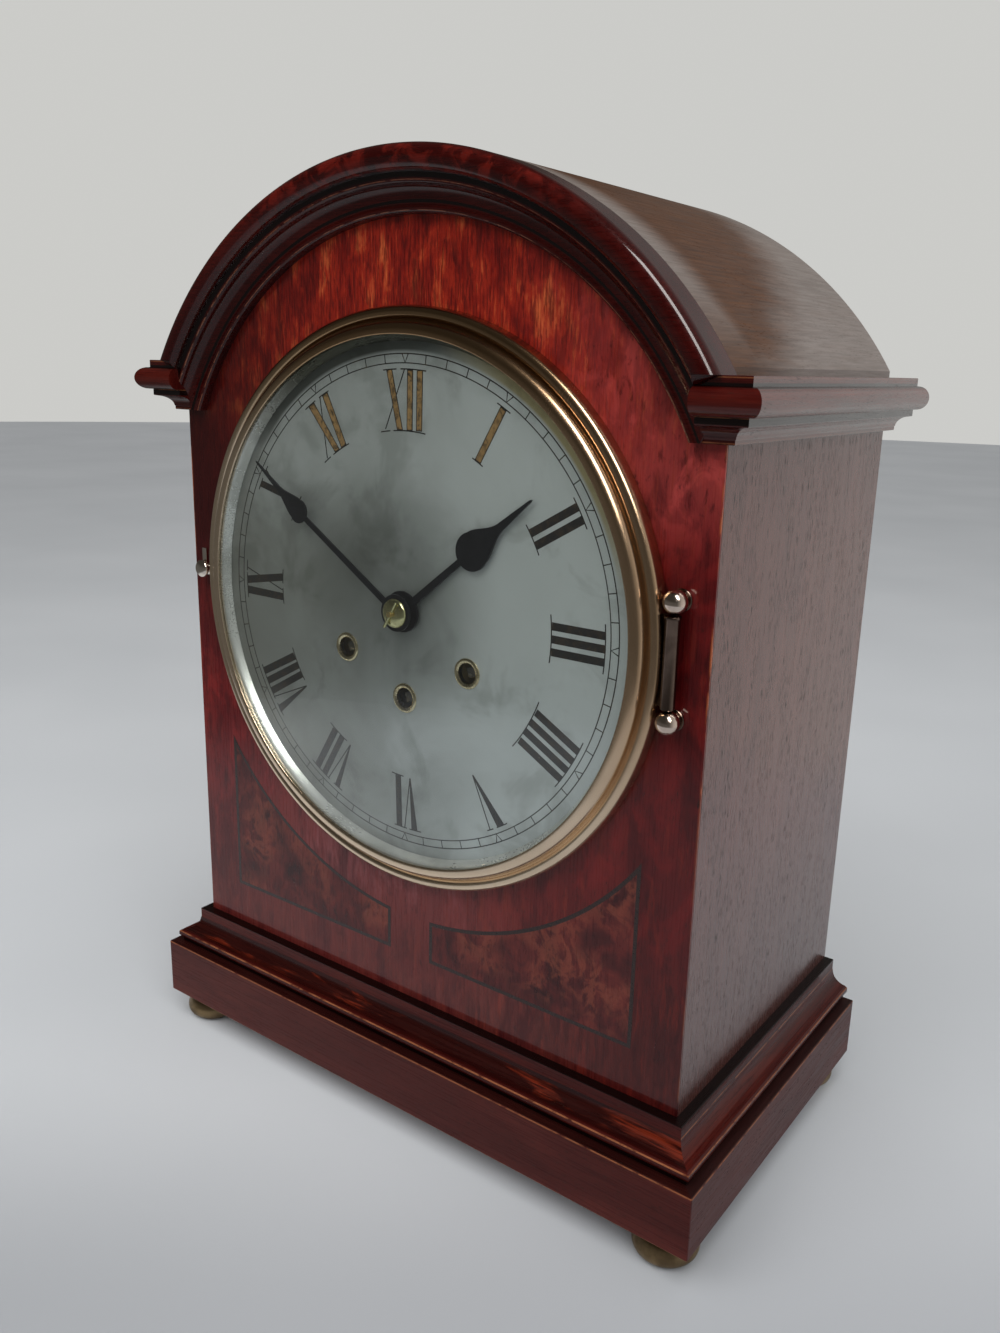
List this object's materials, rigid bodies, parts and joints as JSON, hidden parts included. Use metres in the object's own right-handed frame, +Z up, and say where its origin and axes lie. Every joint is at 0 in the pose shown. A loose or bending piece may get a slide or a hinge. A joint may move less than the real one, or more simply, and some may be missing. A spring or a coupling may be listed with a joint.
{
  "type": "chiming clock",
  "caption": "Arch-topped mahogany bracket clock with a round silvered dial under a hinged brass bezel, glazed back door and a sprung chiming movement.",
  "frame": {"origin": "on the floor under the feet, at the middle of the footprint", "axes": "+X to the dial's right as the viewer sees it, +Y to the back (the dial looks along -Y), +Z up"},
  "size_m": [0.3164, 0.176, 0.4259],
  "materials": {
    "plinth": "polished mahogany",
    "base_moulding": "polished mahogany",
    "bottom_board": "oiled",
    "case_sides": "polished mahogany",
    "front_panel": "polished flame mahogany",
    "roof": "polished mahogany",
    "arch_moulding": "polished mahogany",
    "cornices": "polished mahogany",
    "burr_panels": "polished veneer with a dark stringing line",
    "feet": "dull, tarnished",
    "back_frame": "polished",
    "seat_board": "oiled",
    "back_door": "polished",
    "door_glass": "clear",
    "door_hinges": "satin",
    "door_leaves": "satin",
    "door_latch": "satin",
    "bezel": "polished",
    "dial_glass": "clear, domed",
    "sight_ring": "silvered",
    "bezel_hinge": "polished",
    "bezel_catch": "polished",
    "dial_plate": "silvered, fine grained, aged",
    "winding_grommets": "polished",
    "dial_feet": "satin",
    "hour_hand": "blued steel, near black",
    "minute_hand": "blued steel, near black",
    "hand_collet": "polished",
    "cannon_pinion": "satin",
    "minute_wheel": "satin",
    "hour_wheel": "satin",
    "front_plate": "satin",
    "back_plate": "satin",
    "pillars": "turned",
    "going_barrel": "satin",
    "going_arbor": "satin",
    "intermediate_wheel": "satin",
    "centre_wheel": "satin",
    "third_wheel": "satin",
    "escape_wheel": "satin",
    "pallets": "polished",
    "pendulum": "polished",
    "rating_nut": "polished",
    "suspension": "satin",
    "strike_barrel": "satin",
    "strike_arbor": "satin",
    "strike_wheel": "satin",
    "strike_fly": "satin",
    "chime_barrel": "satin",
    "chime_arbor": "satin",
    "chime_drum": "satin",
    "chime_fly": "satin",
    "hammer_frame": "satin",
    "chime_hammer_1": "satin",
    "chime_hammer_2": "satin",
    "chime_hammer_3": "satin",
    "chime_hammer_4": "satin",
    "hour_hammer": "satin",
    "gong_block": "black japanned",
    "gong_rods": "bright drawn rod"
  },
  "bodies": {
    "case": {"plinth": "plinth", "base_moulding": "base_moulding", "bottom_board": "bottom_board", "case_sides": "case_sides", "front_panel": "front_panel", "roof": "roof", "arch_moulding": "arch_moulding", "cornices": "cornices", "burr_panels": "burr_panels", "feet": "feet", "back_frame": "back_frame", "seat_board": "seat_board", "door_hinges": "door_hinges", "bezel_hinge": "bezel_hinge", "dial_plate": "dial_plate", "winding_grommets": "winding_grommets", "dial_feet": "dial_feet", "front_plate": "front_plate", "back_plate": "back_plate", "pillars": "pillars", "suspension": "suspension", "hammer_frame": "hammer_frame", "gong_block": "gong_block", "gong_rods": "gong_rods"},
    "bezel": {"bezel": "bezel", "dial_glass": "dial_glass", "sight_ring": "sight_ring"},
    "bezel_catch": {"bezel_catch": "bezel_catch"},
    "back_door": {"back_door": "back_door", "door_glass": "door_glass", "door_leaves": "door_leaves"},
    "door_latch": {"door_latch": "door_latch"},
    "minute": {"cannon_pinion": "cannon_pinion", "minute_hand": "minute_hand"},
    "motion": {"minute_wheel": "minute_wheel"},
    "hour": {"hour_wheel": "hour_wheel", "hour_hand": "hour_hand"},
    "third": {"third_wheel": "third_wheel"},
    "centre": {"centre_wheel": "centre_wheel", "hand_collet": "hand_collet"},
    "escape": {"escape_wheel": "escape_wheel"},
    "intermediate": {"intermediate_wheel": "intermediate_wheel"},
    "going_barrel": {"going_barrel": "going_barrel"},
    "going_arbor": {"going_arbor": "going_arbor"},
    "strike_barrel": {"strike_barrel": "strike_barrel"},
    "strike_arbor": {"strike_arbor": "strike_arbor"},
    "strike_wheel": {"strike_wheel": "strike_wheel"},
    "strike_fly": {"strike_fly": "strike_fly"},
    "chime_barrel": {"chime_barrel": "chime_barrel"},
    "chime_arbor": {"chime_arbor": "chime_arbor"},
    "chime_drum": {"chime_drum": "chime_drum"},
    "chime_fly": {"chime_fly": "chime_fly"},
    "pendulum": {"pendulum": "pendulum"},
    "pallets": {"pallets": "pallets"},
    "rating_nut": {"rating_nut": "rating_nut"},
    "chime_hammer_1": {"chime_hammer_1": "chime_hammer_1"},
    "chime_hammer_2": {"chime_hammer_2": "chime_hammer_2"},
    "chime_hammer_3": {"chime_hammer_3": "chime_hammer_3"},
    "chime_hammer_4": {"chime_hammer_4": "chime_hammer_4"},
    "hour_hammer": {"hour_hammer": "hour_hammer"}
  },
  "joints": [
    {"name": "bezel_open", "type": "hinge", "parent": "case", "child": "bezel", "pos_m": [0.127, -0.075, 0.2459], "axis": [0, 0, 1], "range_deg": [0, 115]},
    {"name": "bezel_catch_turn", "type": "hinge", "parent": "case", "child": "bezel_catch", "pos_m": [-0.13, -0.0735, 0.2479], "axis": [0, 1, 0], "range_deg": [0, 90]},
    {"name": "back_door_open", "type": "hinge", "parent": "case", "child": "back_door", "pos_m": [0.104, 0.086, 0.2], "axis": [0, 0, -1], "range_deg": [0, 100]},
    {"name": "door_latch_turn", "type": "hinge", "parent": "back_door", "child": "door_latch", "pos_m": [-0.094, 0.079, 0.2], "axis": [0, -1, 0], "range_deg": [0, 90]},
    {"name": "minute_turn", "type": "hinge", "parent": "case", "child": "minute", "pos_m": [0, -0.07, 0.2459], "axis": [0, 1, 0], "continuous": true},
    {"name": "motion_turn", "type": "hinge", "parent": "case", "child": "motion", "pos_m": [0.01, -0.062, 0.26322], "axis": [0, 1, 0], "continuous": true},
    {"name": "hour_turn", "type": "hinge", "parent": "case", "child": "hour", "pos_m": [0, -0.07, 0.2459], "axis": [0, 1, 0], "continuous": true},
    {"name": "third_turn", "type": "hinge", "parent": "case", "child": "third", "pos_m": [-0.00538, -0.02, 0.26599], "axis": [0, 1, 0], "continuous": true},
    {"name": "centre_turn", "type": "hinge", "parent": "case", "child": "centre", "pos_m": [0, -0.02, 0.2459], "axis": [0, 1, 0], "continuous": true},
    {"name": "escape_turn", "type": "hinge", "parent": "case", "child": "escape", "pos_m": [0, -0.006, 0.28542], "axis": [0, 1, 0], "continuous": true},
    {"name": "intermediate_turn", "type": "hinge", "parent": "case", "child": "intermediate", "pos_m": [0.00922, -0.02, 0.22703], "axis": [0, 1, 0], "continuous": true},
    {"name": "going_barrel_turn", "type": "hinge", "parent": "case", "child": "going_barrel", "pos_m": [0, -0.037, 0.2075], "axis": [0, 1, 0], "continuous": true},
    {"name": "going_winding", "type": "hinge", "parent": "case", "child": "going_arbor", "pos_m": [0, -0.037, 0.2075], "axis": [0, 1, 0], "continuous": true},
    {"name": "strike_turn", "type": "hinge", "parent": "case", "child": "strike_wheel", "pos_m": [-0.0446, -0.02, 0.20589], "axis": [0, 1, 0], "continuous": true},
    {"name": "strike_barrel_turn", "type": "hinge", "parent": "case", "child": "strike_barrel", "pos_m": [-0.0338, -0.037, 0.2246], "axis": [0, 1, 0], "continuous": true},
    {"name": "strike_fly_turn", "type": "hinge", "parent": "case", "child": "strike_fly", "pos_m": [-0.05585, -0.02, 0.2193], "axis": [0, 1, 0], "continuous": true},
    {"name": "strike_winding", "type": "hinge", "parent": "case", "child": "strike_arbor", "pos_m": [-0.0338, -0.037, 0.2246], "axis": [0, 1, 0], "continuous": true},
    {"name": "chime_turn", "type": "hinge", "parent": "case", "child": "chime_drum", "pos_m": [0.0446, -0.02, 0.20589], "axis": [0, 1, 0], "continuous": true},
    {"name": "chime_barrel_turn", "type": "hinge", "parent": "case", "child": "chime_barrel", "pos_m": [0.0338, -0.037, 0.2246], "axis": [0, 1, 0], "continuous": true},
    {"name": "chime_fly_turn", "type": "hinge", "parent": "case", "child": "chime_fly", "pos_m": [0.05585, -0.02, 0.2193], "axis": [0, 1, 0], "continuous": true},
    {"name": "chime_winding", "type": "hinge", "parent": "case", "child": "chime_arbor", "pos_m": [0.0338, -0.037, 0.2246], "axis": [0, 1, 0], "continuous": true},
    {"name": "pendulum_swing", "type": "hinge", "parent": "case", "child": "pendulum", "pos_m": [0, 0.011, 0.30292], "axis": [0, 1, 0], "range_deg": [-2.5, 2.5]},
    {"name": "pallets_rock", "type": "hinge", "parent": "case", "child": "pallets", "pos_m": [0, -0.006, 0.30292], "axis": [0, 1, 0], "range_deg": [-2.5, 2.5]},
    {"name": "rating_turn", "type": "hinge", "parent": "pendulum", "child": "rating_nut", "pos_m": [0, 0.011, 0.13472], "axis": [0, 0, 1], "continuous": true},
    {"name": "chime_hammer_1_lift", "type": "hinge", "parent": "case", "child": "chime_hammer_1", "pos_m": [0.062, 0.008, 0.15], "axis": [0, 1, 0], "range_deg": [0, 12], "stiffness_Nm_per_rad": 0.004, "springref_deg": -8.59},
    {"name": "chime_hammer_2_lift", "type": "hinge", "parent": "case", "child": "chime_hammer_2", "pos_m": [0.062, 0.016, 0.15], "axis": [0, 1, 0], "range_deg": [0, 12], "stiffness_Nm_per_rad": 0.004, "springref_deg": -8.59},
    {"name": "chime_hammer_3_lift", "type": "hinge", "parent": "case", "child": "chime_hammer_3", "pos_m": [0.062, 0.024, 0.15], "axis": [0, 1, 0], "range_deg": [0, 12], "stiffness_Nm_per_rad": 0.004, "springref_deg": -8.59},
    {"name": "chime_hammer_4_lift", "type": "hinge", "parent": "case", "child": "chime_hammer_4", "pos_m": [0.062, 0.032, 0.15], "axis": [0, 1, 0], "range_deg": [0, 12], "stiffness_Nm_per_rad": 0.004, "springref_deg": -8.59},
    {"name": "hour_hammer_lift", "type": "hinge", "parent": "case", "child": "hour_hammer", "pos_m": [-0.062, 0.044, 0.15], "axis": [0, -1, 0], "range_deg": [0, 12], "stiffness_Nm_per_rad": 0.004, "springref_deg": -8.59}
  ],
  "couplings": [
    {"joint": "motion_turn", "follows": "minute_turn", "ratio": -0.33333},
    {"joint": "hour_turn", "follows": "minute_turn", "ratio": 0.083333},
    {"joint": "centre_turn", "follows": "third_turn", "ratio": -0.083333},
    {"joint": "escape_turn", "follows": "third_turn", "ratio": -13},
    {"joint": "intermediate_turn", "follows": "third_turn", "ratio": 0.013889},
    {"joint": "going_barrel_turn", "follows": "third_turn", "ratio": -0.0022401},
    {"joint": "strike_barrel_turn", "follows": "strike_turn", "ratio": -0.16129},
    {"joint": "strike_fly_turn", "follows": "strike_turn", "ratio": -6},
    {"joint": "chime_barrel_turn", "follows": "chime_turn", "ratio": -0.16129},
    {"joint": "chime_fly_turn", "follows": "chime_turn", "ratio": -6},
    {"joint": "pallets_rock", "follows": "pendulum_swing", "ratio": 1}
  ]
}
